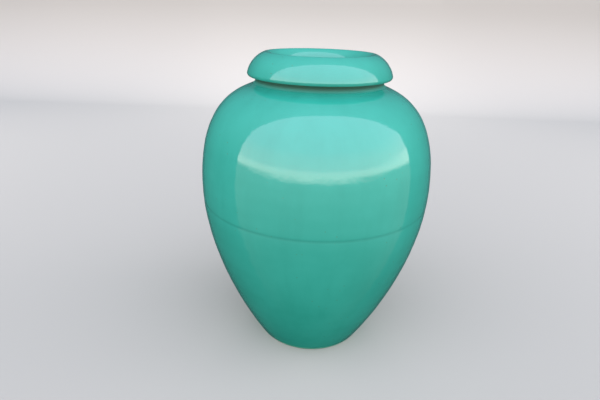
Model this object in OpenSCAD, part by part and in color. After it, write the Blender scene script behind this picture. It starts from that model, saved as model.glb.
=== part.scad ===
// Open-mouthed oil-jar vase with a wide shoulder and a thick rolled rim.
// It is four fired-clay sections, luted together face to face and glazed as one:
// a foot ring keyed under the floor, a lower body with the floor, an upper body with
// the shoulder and neck, and a rim that sits over the neck.
// Millimetres, +Z up, origin at the bottom centre.

/* [Body] */
// Widest diameter
belly_d = 310.4; // [290:0.2:330]
// Height of the widest point
belly_z = 235; // [225:1:250]
// Diameter of the foot on the ground
foot_d = 156; // [140:1:170]
// Angle of the flank above level, where it leaves the foot
flank_slope = 52.3; // [48:0.1:60]
// How far the belly's roundness reaches down the flank
flank_fullness = 110; // [90:1:125]
// How far the belly's roundness reaches up the shoulder
shoulder_fullness = 100; // [85:1:108]
// Angle of the shoulder above level, where it meets the neck
shoulder_slope = 21.6; // [16:0.1:30]
// Height of the line where the two body sections were joined
seam_z = 218; // [195:1:222]

/* [Neck and rim] */
// Height from the ground to the crest of the rim
jar_h = 406; // [400:1:418]
// Height of the rim, from its lower edge to its crest
rim_h = 29.4; // [27:0.1:32]
// Outer diameter of the rim
rim_d = 185.4; // [181:0.2:191]
// Diameter of the mouth at its narrowest
mouth_d = 112.4; // [106:0.2:118]
// Radius of the rim's rounded outer face
rim_bulge = 36; // [30:1:60]
// Radius of the rim's crest
lip_round = 3.3; // [2.5:0.1:5]
// Radius of the slope from the crest down into the mouth
slope_round = 19; // [16:0.5:22]
// Radius of the rim's lower outer edge
edge_round = 3.6; // [2.5:0.1:5]
// Outer diameter of the neck
neck_d = 161; // [156:0.5:166]
// Height from the end of the shoulder to the lower edge of the rim
neck_show = 11.7; // [11:0.1:15]

/* [Walls] */
// Thickness of the body's wall
wall = 9; // [7:0.5:11]
// Thickness of the floor
floor_t = 12; // [9:0.5:16]
// Height of the foot ring
foot_h = 6; // [4:0.5:9]
// Width of the foot ring on the ground
foot_w = 14; // [11:0.5:18]

/* [Hidden] */

$fn = 96;
glaze = [0.33, 0.75, 0.68];
thin_glaze = [0.42, 0.77, 0.65];

steps = 22;          // straight bands in each long curve
arc_steps = 7;       // straight bands in each small curve
eps = 1;             // how far a cutter runs past what it cuts
slope_turn = 70;     // angle of the slope into the mouth above level, where it leaves the crest
undercut = 1.5;      // rise of the rim's underside towards the neck
seat_h = 8;          // depth of the rim's socket over the neck
neck_rise = 10.6;    // height of the hollow curve between shoulder and neck
neck_fillet = 9.8;   // width of that curve
throat_h = 24;       // height over which the inside narrows from the shoulder to the mouth
lap_h = 8;           // height of the stepped joint at the seam
lap_at = 0.58;       // share of the wall that lies outside that joint
heel = 2;            // rounding under the foot's outer edge
key_w = 6;           // width of the foot ring's key
key_h = 3;           // height of the foot ring's key
floor_flat = 0.75;   // share of the foot's radius over which the floor is flat inside
wall_start = 0.25;   // share of the flank's curve beside the floor's rounded corner

// How far each curve keeps the direction of its end
foot_pull = 4.5;
shoulder_pull = 27.4;
neck_pull = 5;
heel_pull = 1.3;
floor_pull = 15.6;
corner_pull = 8;
throat_pull = 12;

belly_r = belly_d / 2;
foot_r = foot_d / 2;
neck_r = neck_d / 2;
mouth_r = mouth_d / 2;
rim_r = rim_d / 2;
rim_z = jar_h - rim_h;
floor_z = foot_h + floor_t;
seat_z = rim_z + seat_h;
lap_r = belly_r - wall * lap_at;
far = belly_r + eps;

// Unit vector at angle a above level
function level_up(a) = [cos(a), sin(a)];

// Point and normal of a four-point curve; the normal points to its right
function bez(p, t) = pow(1 - t, 3) * p[0] + 3 * pow(1 - t, 2) * t * p[1]
    + 3 * (1 - t) * pow(t, 2) * p[2] + pow(t, 3) * p[3];
function bez_dir(p, t) = pow(1 - t, 2) * (p[1] - p[0]) + 2 * (1 - t) * t * (p[2] - p[1])
    + pow(t, 2) * (p[3] - p[2]);
function bez_right(p, t) = let (d = bez_dir(p, t)) [d[1], -d[0]] / norm(d);

// Points along a curve, moved inwards by depth; the first point is left out
function curve(p, n, depth = 0) =
    [for (i = [1:n]) bez(p, i / n) - depth * bez_right(p, i / n)];
// Points along an arc, from angle a to angle b; the first point is left out
function arc(c, r, a, b, n) = [for (i = [1:n]) c + r * level_up(a + (b - a) * i / n)];

// The outside of the body is two curves that meet upright at the belly
foot_edge = [foot_r, 0];
shoulder_end = [neck_r + neck_fillet, rim_z - neck_show];
flank = [foot_edge, foot_edge + foot_pull * level_up(flank_slope),
    [belly_r, belly_z - flank_fullness], [belly_r, belly_z]];
shoulder = [[belly_r, belly_z], [belly_r, belly_z + shoulder_fullness],
    shoulder_end + shoulder_pull * level_up(-shoulder_slope), shoulder_end];
neck_curve = [shoulder_end, shoulder_end + neck_pull * level_up(180 - shoulder_slope),
    shoulder_end + [-neck_fillet, neck_rise - neck_pull], shoulder_end + [-neck_fillet, neck_rise]];
heel_curve = [foot_edge - [heel, 0], foot_edge - [heel - heel_pull, 0],
    foot_edge + (heel - heel_pull) * level_up(flank_slope), foot_edge + heel * level_up(flank_slope)];

// The inside follows the outside, one wall in, from a rounded floor to the throat
inner_foot = bez(flank, wall_start) - wall * bez_right(flank, wall_start);
inner_neck = shoulder_end - wall * bez_right(shoulder, 1);
floor_edge = [foot_r * floor_flat, floor_z];
throat_top = [mouth_r, inner_neck[1] + throat_h];
floor_curve = [floor_edge, floor_edge + [floor_pull, 0],
    inner_foot - corner_pull * level_up(flank_slope), inner_foot];
throat_curve = [inner_neck, inner_neck + throat_pull * level_up(180 - shoulder_slope),
    throat_top - [0, throat_pull], throat_top];

// The rim is four arcs, each tangent to the next: lower edge, outer face, crest and
// the slope into the mouth, which ends upright at the mouth's narrowest place
slope_c = [mouth_r + slope_round, jar_h - lip_round - (slope_round - lip_round) * sin(slope_turn)];
lip_c = slope_c + (slope_round - lip_round) * level_up(180 - slope_turn);
edge_c = [rim_r - edge_round, rim_z + edge_round];
span = norm(lip_c - edge_c);
along = (lip_c - edge_c) / span;
reach_edge = rim_bulge - edge_round;
reach_lip = rim_bulge - lip_round;
foot_along = (pow(reach_edge, 2) - pow(reach_lip, 2) + pow(span, 2)) / (2 * span);
foot_across = sqrt(pow(reach_edge, 2) - pow(foot_along, 2));
bulge_c = edge_c + foot_along * along + foot_across * [-along[1], along[0]];
edge_angle = atan2(edge_c[1] - bulge_c[1], edge_c[0] - bulge_c[0]);
lip_angle = atan2(lip_c[1] - bulge_c[1], lip_c[0] - bulge_c[0]);

// Half section of the whole body as if it were solid, up to the top of the neck
module body_outline() {
    polygon(concat(
        [[0, 0], heel_curve[0]],
        curve(heel_curve, arc_steps),
        [for (i = [1:steps]) if (bez(flank, i / steps)[1] > heel) bez(flank, i / steps)],
        curve(shoulder, steps),
        curve(neck_curve, arc_steps),
        [[neck_r, seat_z], [0, seat_z]]));
}

// Half section of the space inside
module hollow_outline() {
    polygon(concat(
        [[0, floor_z], floor_edge],
        curve(floor_curve, arc_steps),
        [for (i = [1:steps]) if (i / steps > wall_start)
            bez(flank, i / steps) - wall * bez_right(flank, i / steps)],
        curve(shoulder, steps, wall),
        curve(throat_curve, arc_steps),
        [[mouth_r, jar_h + eps], [0, jar_h + eps]]));
}

// Everything below the stepped joint of the seam
module below_seam() {
    translate([0, -eps]) square([far, seam_z + eps]);
    square([lap_r, seam_z + lap_h]);
}

// The key on top of the foot ring, at the middle of its width
module foot_key() {
    translate([foot_r - (foot_w + key_w) / 2, foot_h - eps])
        square([key_w, key_h + eps]);
}

// Ring under the floor that the jar stands on
module foot_ring() {
    color(thin_glaze) rotate_extrude() {
        intersection() {
            body_outline();
            translate([foot_r - foot_w, 0]) square([far, foot_h]);
        }
        foot_key();
    }
}

// Lower section: the floor and the flank, up to the seam
module lower_body() {
    color(glaze) rotate_extrude() difference() {
        intersection() {
            body_outline();
            below_seam();
            translate([0, foot_h]) square([far, jar_h]);
        }
        hollow_outline();
        foot_key();
    }
}

// Upper section: the belly above the seam, the shoulder and the neck
module upper_body() {
    color(glaze) rotate_extrude() difference() {
        body_outline();
        hollow_outline();
        below_seam();
    }
}

// Thick rolled rim, seated over the top of the neck
module rolled_rim() {
    color(glaze) rotate_extrude() polygon(concat(
        [[mouth_r, seat_z], [neck_r, seat_z], [neck_r, rim_z + undercut], [edge_c[0], rim_z]],
        arc(edge_c, edge_round, -90, edge_angle, arc_steps),
        arc(bulge_c, rim_bulge, edge_angle, lip_angle, steps),
        arc(lip_c, lip_round, lip_angle, 90, arc_steps),
        arc(lip_c, lip_round, 90, 180 - slope_turn, arc_steps),
        arc(slope_c, slope_round, 180 - slope_turn, 180, steps / 2)));
}

foot_ring();
lower_body();
upper_body();
rolled_rim();
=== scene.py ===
import math

import bpy
import numpy as np
from mathutils import Matrix, Vector


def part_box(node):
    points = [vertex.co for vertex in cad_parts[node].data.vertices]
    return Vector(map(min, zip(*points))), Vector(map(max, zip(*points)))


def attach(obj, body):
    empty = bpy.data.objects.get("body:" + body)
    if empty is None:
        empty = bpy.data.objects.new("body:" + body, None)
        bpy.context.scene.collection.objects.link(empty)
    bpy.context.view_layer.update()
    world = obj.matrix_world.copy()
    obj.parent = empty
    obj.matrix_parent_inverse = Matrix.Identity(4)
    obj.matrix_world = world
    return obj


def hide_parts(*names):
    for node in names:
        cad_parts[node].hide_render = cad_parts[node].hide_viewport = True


# Looks of an open-mouthed oil-jar vase: four fired-clay sections under one turquoise glaze.
# Every length is in metres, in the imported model's own frame.

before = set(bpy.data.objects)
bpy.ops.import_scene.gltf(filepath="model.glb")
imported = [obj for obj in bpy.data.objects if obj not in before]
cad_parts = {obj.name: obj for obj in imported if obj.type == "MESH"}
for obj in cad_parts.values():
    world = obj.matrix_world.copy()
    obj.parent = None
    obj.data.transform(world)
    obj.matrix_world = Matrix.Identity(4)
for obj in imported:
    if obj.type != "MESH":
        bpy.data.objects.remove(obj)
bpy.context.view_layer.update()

MM = 0.001
SECTORS = 320          # quads round the jar
SHARP = math.radians(35)
BODY = "root"          # a part with no joints has one body


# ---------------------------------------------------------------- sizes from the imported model
lower_lo, lower_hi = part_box("lower_body")
upper_lo, upper_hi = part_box("upper_body")
rim_lo, rim_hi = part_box("rolled_rim")

JAR_H = rim_hi.z                  # crest of the rim
BELLY_R = upper_hi.x              # widest radius
RIM_R = rim_hi.x                  # widest radius of the rim
RIM_Z = rim_lo.z                  # lower edge of the rim
SEAT_Z = upper_hi.z               # top of the neck, inside the rim
SEAM_Z = upper_lo.z               # outer line of the joint between the body sections
LAP_Z = lower_hi.z                # inner line of that joint
FOOT_H = lower_lo.z               # underside of the floor

# The rest of the section's driving sizes, as the design has them
BELLY_Z = 235 * MM                # height of the widest place
FOOT_R = 78 * MM
FOOT_W = 14 * MM
FLANK_SLOPE = 52.3                # degrees above level at the foot
FLANK_FULLNESS = 110 * MM
SHOULDER_FULLNESS = 100 * MM
SHOULDER_SLOPE = 21.6             # degrees above level at the neck
NECK_R = 80.5 * MM
NECK_SHOW = 11.7 * MM             # from the end of the shoulder to the rim's lower edge
NECK_FILLET = 9.8 * MM            # width of the hollow curve up to the neck
NECK_RISE = 10.6 * MM             # height of that curve
MOUTH_R = 56.2 * MM
RIM_BULGE = 36 * MM               # radius of the rim's outer face
LIP_ROUND = 3.3 * MM              # radius of its crest
SLOPE_ROUND = 19 * MM             # radius of the slope into the mouth
SLOPE_TURN = 70                   # degrees above level where that slope leaves the crest
EDGE_ROUND = 3.6 * MM             # radius of the rim's lower edge
UNDERCUT = 1.5 * MM               # rise of its underside towards the neck
WALL = 9 * MM
FLOOR_Z = FOOT_H + 12 * MM        # top of the floor
HEEL = 2 * MM                     # rounding under the foot's outer edge
KEY_W = 6 * MM                    # the foot ring's key
KEY_H = 3 * MM
LAP_AT = 0.58                     # share of the wall outside the stepped joint at the seam
LAP_R = BELLY_R - WALL * LAP_AT
THROAT_H = 24 * MM                # height over which the inside narrows to the mouth
WALL_START = 0.25                 # share of the flank's curve beside the floor's corner
FLOOR_FLAT = 0.75                 # share of the foot's radius over which the floor is flat

# How far each curve keeps the direction of its end
FOOT_PULL = 4.5 * MM
SHOULDER_PULL = 27.4 * MM
NECK_PULL = 5 * MM
GATHER_PULL = 4.5 * MM
HEEL_PULL = 1.3 * MM
FLOOR_PULL = 15.6 * MM
CORNER_PULL = 8 * MM
THROAT_PULL = 12 * MM

CREST_R = MOUTH_R + SLOPE_ROUND + (LIP_ROUND - SLOPE_ROUND) * math.cos(math.radians(SLOPE_TURN))

# What hand work and the glaze leave on the surface
SEAM_DEPTH = 0.16 * MM
SEAM_SOFT = 2.0 * MM              # half width of the seam's groove
SEAM_NEAR = 6 * MM                # how far from it the section has close points
GATHER_FROM = 0.45                # share of the neck's curve below the gathered glaze
GATHER_W = 6 * MM                 # how far that glaze reaches out under the rim


# ---------------------------------------------------------------- half section
def up(angle):
    """Unit vector at an angle in degrees above level, in the (radius, height) plane."""
    a = math.radians(angle)
    return np.array([math.cos(a), math.sin(a)])


def bez(p, t):
    """Points of a four-point curve at the values t."""
    t = np.asarray(t, float)[:, None]
    return (1 - t) ** 3 * p[0] + 3 * (1 - t) ** 2 * t * p[1] + 3 * (1 - t) * t**2 * p[2] + t**3 * p[3]


def bez_right(p, t):
    """Unit vectors to the right of the curve at the values t."""
    t = np.asarray(t, float)[:, None]
    d = (1 - t) ** 2 * (p[1] - p[0]) + 2 * (1 - t) * t * (p[2] - p[1]) + t**2 * (p[3] - p[2])
    n = np.stack([d[:, 1], -d[:, 0]], 1)
    return n / np.linalg.norm(n, axis=1)[:, None]


def arc(centre, radius, a, b, count):
    """Points of an arc from angle a to angle b in degrees."""
    return np.array([centre + radius * up(x) for x in np.linspace(a, b, count)])


def at_height(curve, z):
    """The curve's parameter where it passes height z."""
    t = np.linspace(0, 1, 4000)
    return float(np.interp(z, bez(curve, t)[:, 1], t))


P = np.array
foot_edge = P([FOOT_R, 0.0])
belly = P([BELLY_R, BELLY_Z])
shoulder_end = P([NECK_R + NECK_FILLET, RIM_Z - NECK_SHOW])
neck_foot = shoulder_end + P([-NECK_FILLET, NECK_RISE])
FLANK = [foot_edge, foot_edge + FOOT_PULL * up(FLANK_SLOPE), belly - P([0, FLANK_FULLNESS]), belly]
SHOULDER = [belly, belly + P([0, SHOULDER_FULLNESS]),
            shoulder_end + SHOULDER_PULL * up(-SHOULDER_SLOPE), shoulder_end]
NECK = [shoulder_end, shoulder_end + NECK_PULL * up(180 - SHOULDER_SLOPE),
        neck_foot - P([0, NECK_PULL]), neck_foot]
HEEL_CURVE = [foot_edge - P([HEEL, 0]), foot_edge - P([HEEL - HEEL_PULL, 0]),
              foot_edge + (HEEL - HEEL_PULL) * up(FLANK_SLOPE), foot_edge + HEEL * up(FLANK_SLOPE)]

inner_foot = bez(FLANK, [WALL_START])[0] - WALL * bez_right(FLANK, [WALL_START])[0]
inner_neck = shoulder_end - WALL * bez_right(SHOULDER, [1])[0]
floor_edge = P([FOOT_R * FLOOR_FLAT, FLOOR_Z])
throat_top = P([MOUTH_R, inner_neck[1] + THROAT_H])
FLOOR_CURVE = [floor_edge, floor_edge + P([FLOOR_PULL, 0]),
               inner_foot - CORNER_PULL * up(FLANK_SLOPE), inner_foot]
THROAT = [inner_neck, inner_neck + THROAT_PULL * up(180 - SHOULDER_SLOPE),
          throat_top - P([0, THROAT_PULL]), throat_top]


def outer_flank(z0, z1, count):
    """Points on the outside of the flank, from height z0 to height z1."""
    return bez(FLANK, np.linspace(at_height(FLANK, z0), at_height(FLANK, z1), count))


def seam_groove(points):
    """Press the joint line into the outside: a shallow, soft-sided groove."""
    depth = SEAM_DEPTH * np.exp(-(((points[:, 1] - SEAM_Z) / SEAM_SOFT) ** 2))
    return points - np.stack([depth, np.zeros(len(points))], 1)


def inner_flank(t0, t1, count):
    t = np.linspace(t0, t1, count)
    return bez(FLANK, t) - WALL * bez_right(FLANK, t)


def inner_flank_at(z):
    """The flank's parameter where the inside passes height z."""
    t = np.linspace(0, 1, 4000)
    return float(np.interp(z, (bez(FLANK, t) - WALL * bez_right(FLANK, t))[:, 1], t))


def foot_section():
    """The ring on the ground, with its key."""
    inner = FOOT_R - FOOT_W
    key = inner + (FOOT_W - KEY_W) / 2
    side = outer_flank(HEEL * math.sin(math.radians(FLANK_SLOPE)), FOOT_H, 6)
    return np.concatenate([
        [[inner, 0]], [[inner + 4 * MM, 0]], [[FOOT_R - HEEL - 2 * MM, 0]],
        bez(HEEL_CURVE, np.linspace(0, 1, 9)), side[1:],
        [[key + KEY_W, FOOT_H], [key + KEY_W, FOOT_H + KEY_H], [key, FOOT_H + KEY_H], [key, FOOT_H],
         [inner, FOOT_H], [inner, FOOT_H / 2]]])


def lower_section():
    """The floor and the flank, up to the seam."""
    key = FOOT_R - FOOT_W + (FOOT_W - KEY_W) / 2
    inside = inner_flank(WALL_START, inner_flank_at(LAP_Z), 60)
    return np.concatenate([
        [[0, FOOT_H], [key * 0.5, FOOT_H], [key, FOOT_H], [key, FOOT_H + KEY_H],
         [key + KEY_W, FOOT_H + KEY_H], [key + KEY_W, FOOT_H]],
        outer_flank(FOOT_H, SEAM_Z - SEAM_NEAR, 122),
        seam_groove(outer_flank(SEAM_Z - SEAM_NEAR, SEAM_Z, 14))[1:],
        [[LAP_R, SEAM_Z], [LAP_R, LAP_Z]], inside[::-1],
        bez(FLOOR_CURVE, np.linspace(1, 0, 14))[1:],
        [[FOOT_R * 0.4, FLOOR_Z], [0, FLOOR_Z]]])


def gathered_glaze():
    """The hollow curve where glaze has gathered in the corner between the neck and the rim's underside."""
    start = bez(NECK, [GATHER_FROM])[0]
    right = bez_right(NECK, [GATHER_FROM])[0]
    share = GATHER_W / (RIM_R - EDGE_ROUND - NECK_R)
    end = P([NECK_R + GATHER_W, RIM_Z + UNDERCUT * (1 - share)])
    curve = [start, start + GATHER_PULL * P([-right[1], right[0]]), end - P([GATHER_PULL, 0]), end]
    return bez(curve, np.linspace(0, 1, 12))


def upper_section():
    """The belly above the seam, the shoulder and the neck."""
    below = seam_groove(outer_flank(SEAM_Z, SEAM_Z + SEAM_NEAR, 14))
    middle = outer_flank(SEAM_Z + SEAM_NEAR, BELLY_Z, 10)
    t = np.linspace(0, 1, 110)
    inside = bez(SHOULDER, t) - WALL * bez_right(SHOULDER, t)
    return np.concatenate([
        [[LAP_R, SEAM_Z]], below, middle[1:], bez(SHOULDER, t)[1:],
        bez(NECK, np.linspace(0, GATHER_FROM, 12))[1:], gathered_glaze()[1:],
        [[NECK_R, RIM_Z + UNDERCUT], [NECK_R, SEAT_Z], [MOUTH_R, SEAT_Z]],
        bez(THROAT, np.linspace(1, 0, 24)), inside[::-2][1:],
        inner_flank(inner_flank_at(LAP_Z), 1, 8)[::-1][1:], [[LAP_R, LAP_Z]]])


def rim_section():
    """Four arcs, each tangent to the next: lower edge, outer face, crest and the slope into the mouth."""
    edge = P([RIM_R - EDGE_ROUND, RIM_Z + EDGE_ROUND])
    drop = LIP_ROUND + (SLOPE_ROUND - LIP_ROUND) * up(SLOPE_TURN)[1]
    slope = P([MOUTH_R + SLOPE_ROUND, JAR_H - drop])
    lip = slope + (SLOPE_ROUND - LIP_ROUND) * up(180 - SLOPE_TURN)
    span = np.linalg.norm(lip - edge)
    along = (lip - edge) / span
    reach_edge, reach_lip = RIM_BULGE - EDGE_ROUND, RIM_BULGE - LIP_ROUND
    a = (reach_edge**2 - reach_lip**2 + span**2) / (2 * span)
    b = math.sqrt(reach_edge**2 - a**2)
    centre = edge + a * along + b * P([-along[1], along[0]])
    edge_angle = math.degrees(math.atan2(*(edge - centre)[::-1]))
    lip_angle = math.degrees(math.atan2(*(lip - centre)[::-1]))
    return np.concatenate([
        [[MOUTH_R, SEAT_Z], [NECK_R, SEAT_Z], [NECK_R, RIM_Z + UNDERCUT]],
        arc(edge, EDGE_ROUND, -90, edge_angle, 14),
        arc(centre, RIM_BULGE, edge_angle, lip_angle, 60)[1:],
        arc(lip, LIP_ROUND, lip_angle, 180 - SLOPE_TURN, 12)[1:],
        arc(slope, SLOPE_ROUND, 180 - SLOPE_TURN, 180, 36)[1:]])


# ---------------------------------------------------------------- meshes
def unevenness(angle, z):
    """How far the wall stands off a true circle: a little out of round, with faint turning ripples."""
    drift = 0.07 * np.cos(2 * angle + 0.8) + 0.05 * np.cos(3 * angle - 1.1 + 9 * z)
    ripple = 0.035 * np.sin(z / (2.9 * MM) + 0.9 * np.sin(angle + 0.4))
    swell = 0.05 * np.sin(z / (7.4 * MM) + 1.3 * np.cos(angle - 0.7)) * (1 + 0.6 * np.cos(2 * angle))
    return (drift + ripple + swell) * MM


def lathe(name, section, closed):
    """A solid of revolution from an anticlockwise half section, closed or open from axis to axis."""
    angles = np.arange(SECTORS) * 2 * math.pi / SECTORS
    ring = section if closed else section[1:-1]
    z = np.repeat(ring[:, 1:], SECTORS, 1)
    r = ring[:, :1] + unevenness(angles[None, :], z) * np.minimum(1, ring[:, :1] / FOOT_R)
    co = np.stack([r * np.cos(angles), r * np.sin(angles), z], -1).reshape(-1, 3)
    rows = len(ring)
    faces = []
    for i in range(rows if closed else rows - 1):
        a, b = i * SECTORS, (i + 1) % rows * SECTORS
        for j in range(SECTORS):
            k = (j + 1) % SECTORS
            faces.append((a + j, a + k, b + k, b + j))
    if not closed:
        co = np.concatenate([co, [[0, 0, section[0][1]], [0, 0, section[-1][1]]]])
        first, last = len(co) - 2, len(co) - 1
        top = (rows - 1) * SECTORS
        for j in range(SECTORS):
            k = (j + 1) % SECTORS
            faces.append((first, k, j))
            faces.append((last, top + j, top + k))
    mesh = bpy.data.meshes.new(name)
    mesh.from_pydata(co.tolist(), [], faces)
    mesh.validate()
    mesh.shade_smooth()
    mesh.set_sharp_from_angle(angle=SHARP)
    piece = bpy.data.objects.new(name, mesh)
    bpy.context.scene.collection.objects.link(piece)
    return piece


def add_piece(name, section, closed, node, material):
    piece = lathe(name, section, closed)
    piece.data.materials.append(material)
    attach(piece, BODY)
    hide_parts(node)
    return piece


# ---------------------------------------------------------------- materials
class Nodes:
    """Short calls for building one material's node tree."""

    def __init__(self, name):
        self.material = bpy.data.materials.new(name)
        self.material.use_nodes = True
        self.tree = self.material.node_tree
        self.shader = self.tree.nodes["Principled BSDF"]
        self.where = self.add("ShaderNodeTexCoord").outputs["Object"]

    def add(self, kind, **values):
        node = self.tree.nodes.new(kind)
        for key, value in values.items():
            setattr(node, key, value)
        return node

    def link(self, a, b):
        self.tree.links.new(a, b)

    def put(self, x, socket):
        """A socket is linked, and a number or colour is set."""
        if isinstance(x, bpy.types.NodeSocket):
            self.link(x, socket)
        elif isinstance(x, tuple) and socket.type == "RGBA":
            socket.default_value = (*x, 1)
        else:
            socket.default_value = x

    def stretched(self, x, y, z):
        n = self.add("ShaderNodeVectorMath", operation="MULTIPLY")
        self.put(self.where, n.inputs[0])
        self.put((x, y, z), n.inputs[1])
        return n.outputs["Vector"]

    def height(self):
        n = self.add("ShaderNodeSeparateXYZ")
        self.put(self.where, n.inputs[0])
        return n.outputs["Z"]

    def radius(self):
        n = self.add("ShaderNodeVectorMath", operation="LENGTH")
        self.put(self.stretched(1, 1, 0), n.inputs[0])
        return n.outputs["Value"]

    def noise(self, scale, detail=2.0, rough=0.5, where=None):
        n = self.add("ShaderNodeTexNoise")
        for key, x in (("Scale", scale), ("Detail", detail), ("Roughness", rough)):
            n.inputs[key].default_value = x
        self.put(where or self.where, n.inputs["Vector"])
        return n.outputs["Fac"]

    def dots(self, scale, size):
        """1 inside scattered round spots, and 0 around them."""
        n = self.add("ShaderNodeTexVoronoi")
        n.inputs["Scale"].default_value = scale
        self.put(self.where, n.inputs["Vector"])
        return self.span(n.outputs["Distance"], size, size * 0.5, 0.0, 1.0)

    def math(self, kind, a, b=0.0):
        n = self.add("ShaderNodeMath", operation=kind)
        self.put(a, n.inputs[0])
        self.put(b, n.inputs[1])
        return n.outputs[0]

    def span(self, value, a, b, c, d):
        """The value's stretch from a to b, carried smoothly onto c to d and held outside it."""
        n = self.add("ShaderNodeMapRange", interpolation_type="SMOOTHSTEP")
        for key, x in zip(("From Min", "From Max", "To Min", "To Max"), (a, b, c, d)):
            n.inputs[key].default_value = x
        self.put(value, n.inputs["Value"])
        return n.outputs["Result"]

    def band(self, value, middle, reach):
        """1 at the middle, and 0 from reach on either side."""
        off = self.math("ABSOLUTE", self.math("SUBTRACT", value, middle))
        return self.span(off, 0.0, reach, 1.0, 0.0)

    def mix(self, fac, a, b, kind="MIX"):
        n = self.add("ShaderNodeMix", data_type="RGBA", blend_type=kind)
        for key, x in ((0, fac), (6, a), (7, b)):
            self.put(x, n.inputs[key])
        return n.outputs[2]

    def blend(self, fac, a, b):
        n = self.add("ShaderNodeMix", data_type="FLOAT")
        for key, x in ((0, fac), (2, a), (3, b)):
            self.put(x, n.inputs[key])
        return n.outputs[0]

    def bump(self, height, distance, normal=None):
        n = self.add("ShaderNodeBump")
        n.inputs["Distance"].default_value = distance
        self.put(height, n.inputs["Height"])
        if normal:
            self.put(normal, n.inputs["Normal"])
        return n.outputs["Normal"]


GLAZE_DEEP = (0.020, 0.285, 0.214)
GLAZE = (0.027, 0.332, 0.252)
GLAZE_PALE = (0.034, 0.362, 0.278)
GLAZE_THIN = (0.105, 0.480, 0.335)     # where it runs thin over an edge
GLAZE_POOLED = (0.008, 0.150, 0.110)   # where it gathers
GLAZE_CREASE_SHADE = (0.003, 0.075, 0.040)   # painted shade under the rim's overhang, over glaze gathered thick and dull there
GLAZE_OLIVE = (0.085, 0.110, 0.030)    # where the clay shows through
CLAY_DARK = (0.36, 0.27, 0.18)
CLAY_DULL = (0.42, 0.33, 0.24)
CLAY_PALE = (0.60, 0.49, 0.36)
GLAZE_IOR = 1.8


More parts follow.
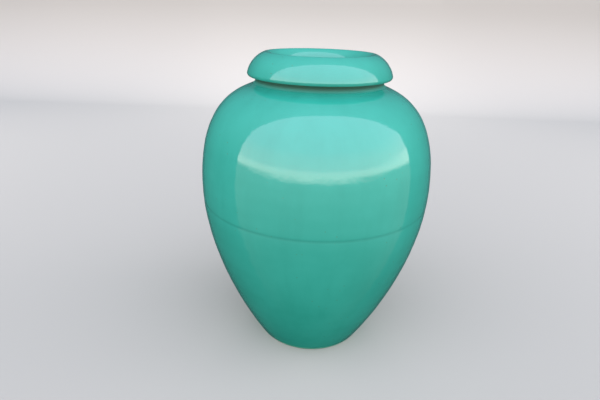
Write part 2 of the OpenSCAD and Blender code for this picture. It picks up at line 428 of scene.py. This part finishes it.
def pottery_material(name):
    """Turquoise glaze over buff clay, which is bare where the jar was wiped to stand in the kiln."""
    m = Nodes(name)
    z, r = m.height(), m.radius()
    soft = m.noise(11, 3)
    fine = m.noise(60, 3, 0.6)
    runs = m.noise(1, 3, 0.55, m.stretched(55, 55, 6))

    colour = m.mix(m.span(soft, 0.36, 0.66, 0.0, 1.0), GLAZE, GLAZE_PALE)
    colour = m.mix(m.span(runs, 0.42, 0.75, 0.0, 0.22), colour, GLAZE_DEEP)
    colour = m.mix(m.span(fine, 0.45, 0.75, 0.0, 0.20), colour, GLAZE_PALE)

    seam = m.math("MULTIPLY", m.band(z, SEAM_Z, 3.6 * MM), m.span(m.noise(9, 2), 0.35, 0.6, 0.06, 0.24))
    colour = m.mix(seam, colour, GLAZE_POOLED)
    outside = m.span(r, NECK_R - 4 * MM, NECK_R - 2 * MM, 0.0, 1.0)
    near_neck = m.math("MULTIPLY", outside, m.span(r, NECK_R + 10 * MM, NECK_R + 7 * MM, 0.0, 1.0))
    under_rim = m.math("MULTIPLY", near_neck, m.span(z, RIM_Z + 4 * MM, RIM_Z + 2 * MM, 0.0, 1.0))
    # Painted shade: the crease between the neck and the rim's underside is darkened where the rim's
    # overhang shades it, over glaze gathered thick there
    crease_shade = m.math("MULTIPLY", under_rim, m.span(z, RIM_Z - 9.5 * MM, RIM_Z - 3 * MM, 0.0, 1.0))
    colour = m.mix(m.math("MULTIPLY", crease_shade, 0.95), colour, GLAZE_CREASE_SHADE)
    worn = m.span(m.noise(45, 3, 0.6), 0.40, 0.62, 0.0, 1.0)
    show = m.math("MULTIPLY", m.band(z, RIM_Z - 1.2 * MM, 1.0 * MM), m.math("MULTIPLY", under_rim, worn))
    colour = m.mix(m.math("MULTIPLY", show, 0.5), colour, GLAZE_OLIVE)
    lip = m.math("MULTIPLY", m.band(z, JAR_H, 0.5 * MM), m.span(r, CREST_R - 2 * MM, CREST_R, 0.55, 0.0))
    colour = m.mix(lip, colour, GLAZE_OLIVE)

    low = m.math("ADD", z, m.span(m.noise(35, 2), 0.3, 0.7, -0.5 * MM, 0.5 * MM))
    bead = m.band(low, 8.5 * MM, 3 * MM)
    colour = m.mix(m.math("MULTIPLY", bead, 0.15), colour, GLAZE_POOLED)
    colour = m.mix(m.span(low, 6.4 * MM, 5 * MM, 0.0, 0.95), colour, GLAZE_THIN)

    specks = m.math("MULTIPLY", m.dots(130, 0.11), m.span(m.noise(23, 1), 0.52, 0.60, 0.0, 1.0))
    colour = m.mix(m.math("MULTIPLY", specks, 0.55), colour, GLAZE_OLIVE)

    grit = m.noise(700, 4, 0.65)
    clay = m.mix(m.span(grit, 0.32, 0.68, 0.0, 1.0), CLAY_DARK, CLAY_PALE)
    clay = m.mix(m.span(soft, 0.4, 0.6, 0.0, 0.35), clay, CLAY_DULL)
    wiped = m.span(low, 0.75 * MM, 0.45 * MM, 0.0, 1.0)
    edge = m.math("ADD", r, m.span(fine, 0.3, 0.7, -2 * MM, 2 * MM))
    under = m.math("MULTIPLY", m.span(edge, FOOT_R - 6 * MM, FOOT_R - 7 * MM, 0.0, 1.0),
                   m.span(z, FOOT_H + 2 * MM, FOOT_H + 1 * MM, 0.0, 1.0))
    bare = m.math("MAXIMUM", wiped, under)
    m.put(m.mix(bare, colour, clay), m.shader.inputs["Base Color"])

    scuffs = m.span(m.noise(1, 4, 0.7, m.stretched(300, 300, 45)), 0.60, 0.74, 0.0, 1.0)
    gloss = m.math("ADD", m.span(soft, 0.3, 0.7, 0.035, 0.075), m.math("MULTIPLY", scuffs, 0.10))
    dull = m.math("MULTIPLY", under_rim, m.span(z, RIM_Z - 10 * MM, RIM_Z - 6 * MM, 0.0, 1.0))
    gloss = m.blend(dull, gloss, 0.75)
    m.put(m.blend(bare, gloss, 0.85), m.shader.inputs["Roughness"])

    normal = m.bump(m.noise(75, 2), 0.00010)
    normal = m.bump(m.noise(300, 2), 0.000015, normal)
    normal = m.bump(m.math("SUBTRACT", m.math("MULTIPLY", bead, 0.6), specks), 0.00012, normal)
    normal = m.bump(m.math("MULTIPLY", grit, bare), 0.0003, normal)
    m.put(normal, m.shader.inputs["Normal"])
    m.shader.inputs["IOR"].default_value = GLAZE_IOR
    return m.material


glaze = pottery_material("turquoise_glaze")
foot_glaze = pottery_material("foot_glaze")
add_piece("foot", foot_section(), True, "foot_ring", foot_glaze)
add_piece("lower_pot", lower_section(), False, "lower_body", glaze)
add_piece("upper_pot", upper_section(), True, "upper_body", glaze)
add_piece("rim", rim_section(), True, "rolled_rim", glaze)


# ---------------------------------------------------------------- camera
EYE = Vector((0, -3.75, 2.8943)) * BELLY_R
PITCH, YAW, ROLL = (math.radians(x) for x in (22.955, -2.009, 1.711))
FOCAL = 437.8 / 600 * 36


def make_camera():
    ahead = Vector((math.sin(YAW) * math.cos(PITCH), math.cos(YAW) * math.cos(PITCH), -math.sin(PITCH)))
    right = Vector((math.cos(YAW), -math.sin(YAW), 0))
    above = right.cross(ahead)
    side = math.cos(ROLL) * right + math.sin(ROLL) * above
    top = -math.sin(ROLL) * right + math.cos(ROLL) * above
    data = bpy.data.cameras.new("camera")
    data.lens = FOCAL
    data.sensor_width = 36
    data.clip_start = 0.01
    camera = bpy.data.objects.new("camera", data)
    rotation = Matrix((side, top, -ahead)).transposed().to_4x4()
    camera.matrix_world = Matrix.Translation(EYE) @ rotation
    bpy.context.scene.collection.objects.link(camera)
    bpy.context.scene.camera = camera


# ---------------------------------------------------------------- stage and light
# Light by elevation in degrees, in front of the jar and behind it: dark below, brightest just above
# the horizon, and a cool even light overhead
FRONT_SKY = [(-90, (0, 0, 0)), (-50, (0.04, 0.04, 0.04)), (0, (0.20, 0.20, 0.19)), (4, (0.85, 0.84, 0.76)),
             (8, (0.85, 0.84, 0.80)), (12, (0.64, 0.63, 0.65)), (30, (0.50, 0.55, 0.65)),
             (90, (0.48, 0.53, 0.65))]
REAR_SKY = [(-90, (0, 0, 0)), (0, (0.06, 0.08, 0.09)), (90, (0.18, 0.24, 0.28))]
REAR_FADE = (0.3, 1.1)            # share of it straight behind, and beside the bright half
SKY_TURN = math.radians(10)       # the bright half is turned a little to the right
SKY_EDGE = 0.02                   # how softly it ends
SKY_STRENGTH = 3.6
BACKDROP = (0.20, 0.198, 0.196)   # the plain tone seen past the floor
FILL_TURNS = (10, 90, 170)        # where the soft fill lights stand, in degrees from +X towards the back
FILL_POWER = 9
FLOOR_COLOUR = (0.47, 0.425, 0.385)


def make_stage():
    """A plain pale floor that curves up into a wall behind the jar."""
    bend, back, wall, front, half = 0.5, 1.6, 2.2, 4.0, 4.0
    line = [(-front, 0.0), (back, 0.0)]
    for a in np.linspace(0, math.pi / 2, 17)[1:]:
        line.append((back + bend * math.sin(a), bend * (1 - math.cos(a))))
    line += [(back + bend, wall)]
    mesh = bpy.data.meshes.new("floor")
    verts = [(x, y, z) for y, z in line for x in (-half, half)]
    mesh.from_pydata(verts, [], [(2 * i, 2 * i + 1, 2 * i + 3, 2 * i + 2) for i in range(len(line) - 1)])
    mesh.shade_smooth()
    floor = bpy.data.objects.new("floor", mesh)
    bpy.context.scene.collection.objects.link(floor)
    m = Nodes("floor")
    m.shader.inputs["Base Color"].default_value = (*FLOOR_COLOUR, 1)
    m.shader.inputs["Roughness"].default_value = 0.8
    mesh.materials.append(m.material)
    floor.visible_glossy = False
    floor.visible_diffuse = False


def make_light():
    """A soft dome of light: bright in front and overhead, dimmer behind, and dark below the horizon."""
    world = bpy.data.worlds.new("studio")
    world.use_nodes = True
    tree = world.node_tree
    direction = tree.nodes.new("ShaderNodeTexCoord").outputs["Generated"]
    axes = tree.nodes.new("ShaderNodeSeparateXYZ")
    tree.links.new(direction, axes.inputs[0])

    def by_height(stops):
        ramp = tree.nodes.new("ShaderNodeValToRGB")
        points = ramp.color_ramp.elements
        while len(points) < len(stops):
            points.new(0.5)
        for point, (elevation, colour) in zip(points, stops):
            point.position = (math.sin(math.radians(elevation)) + 1) / 2
            point.color = (*colour, 1)
        half = tree.nodes.new("ShaderNodeMapRange")
        half.inputs["From Min"].default_value = -1
        tree.links.new(axes.outputs["Z"], half.inputs["Value"])
        tree.links.new(half.outputs["Result"], ramp.inputs["Fac"])
        return ramp.outputs["Color"]

    front = by_height(FRONT_SKY)
    facing = tree.nodes.new("ShaderNodeVectorMath")
    facing.operation = "DOT_PRODUCT"
    tree.links.new(direction, facing.inputs[0])
    facing.inputs[1].default_value = (math.sin(SKY_TURN), -math.cos(SKY_TURN), 0)
    fade = tree.nodes.new("ShaderNodeMapRange")
    fade.inputs["From Min"].default_value = -1
    fade.inputs["From Max"].default_value = 0
    fade.inputs["To Min"].default_value = REAR_FADE[0]
    fade.inputs["To Max"].default_value = REAR_FADE[1]
    tree.links.new(facing.outputs["Value"], fade.inputs["Value"])
    rear = tree.nodes.new("ShaderNodeVectorMath")
    rear.operation = "SCALE"
    tree.links.new(by_height(REAR_SKY), rear.inputs[0])
    tree.links.new(fade.outputs["Result"], rear.inputs["Scale"])
    side = tree.nodes.new("ShaderNodeMapRange")
    side.interpolation_type = "SMOOTHSTEP"
    side.inputs["From Min"].default_value = -SKY_EDGE
    side.inputs["From Max"].default_value = SKY_EDGE
    tree.links.new(facing.outputs["Value"], side.inputs["Value"])
    mix = tree.nodes.new("ShaderNodeMix")
    mix.data_type = "RGBA"
    tree.links.new(side.outputs["Result"], mix.inputs[0])
    tree.links.new(rear.outputs["Vector"], mix.inputs[6])
    tree.links.new(front, mix.inputs[7])
    # Seen directly, past the floor, it is one plain tone
    seen = tree.nodes.new("ShaderNodeMix")
    seen.data_type = "RGBA"
    tree.links.new(tree.nodes.new("ShaderNodeLightPath").outputs["Is Camera Ray"], seen.inputs[0])
    tree.links.new(mix.outputs[2], seen.inputs[6])
    seen.inputs[7].default_value = (*BACKDROP, 1)
    background = tree.nodes["Background"]
    tree.links.new(seen.outputs[2], background.inputs["Color"])
    background.inputs["Strength"].default_value = SKY_STRENGTH
    bpy.context.scene.world = world


def make_fill():
    """Large soft lights beside and behind the jar, which show no reflection in the glaze."""
    for turn in FILL_TURNS:
        data = bpy.data.lights.new("fill", "AREA")
        data.shape = "DISK"
        data.size = 1.4
        data.energy = FILL_POWER
        data.specular_factor = 0
        lamp = bpy.data.objects.new("fill", data)
        place = Vector((math.cos(math.radians(turn)), math.sin(math.radians(turn)), 0.4)) * 2
        lamp.matrix_world = Matrix.Translation(place) @ place.to_track_quat("Z", "Y").to_matrix().to_4x4()
        lamp.visible_glossy = False
        lamp.visible_camera = False
        bpy.context.scene.collection.objects.link(lamp)


make_camera()
make_stage()
make_light()
make_fill()
bpy.context.scene.view_settings.view_transform = "Standard"
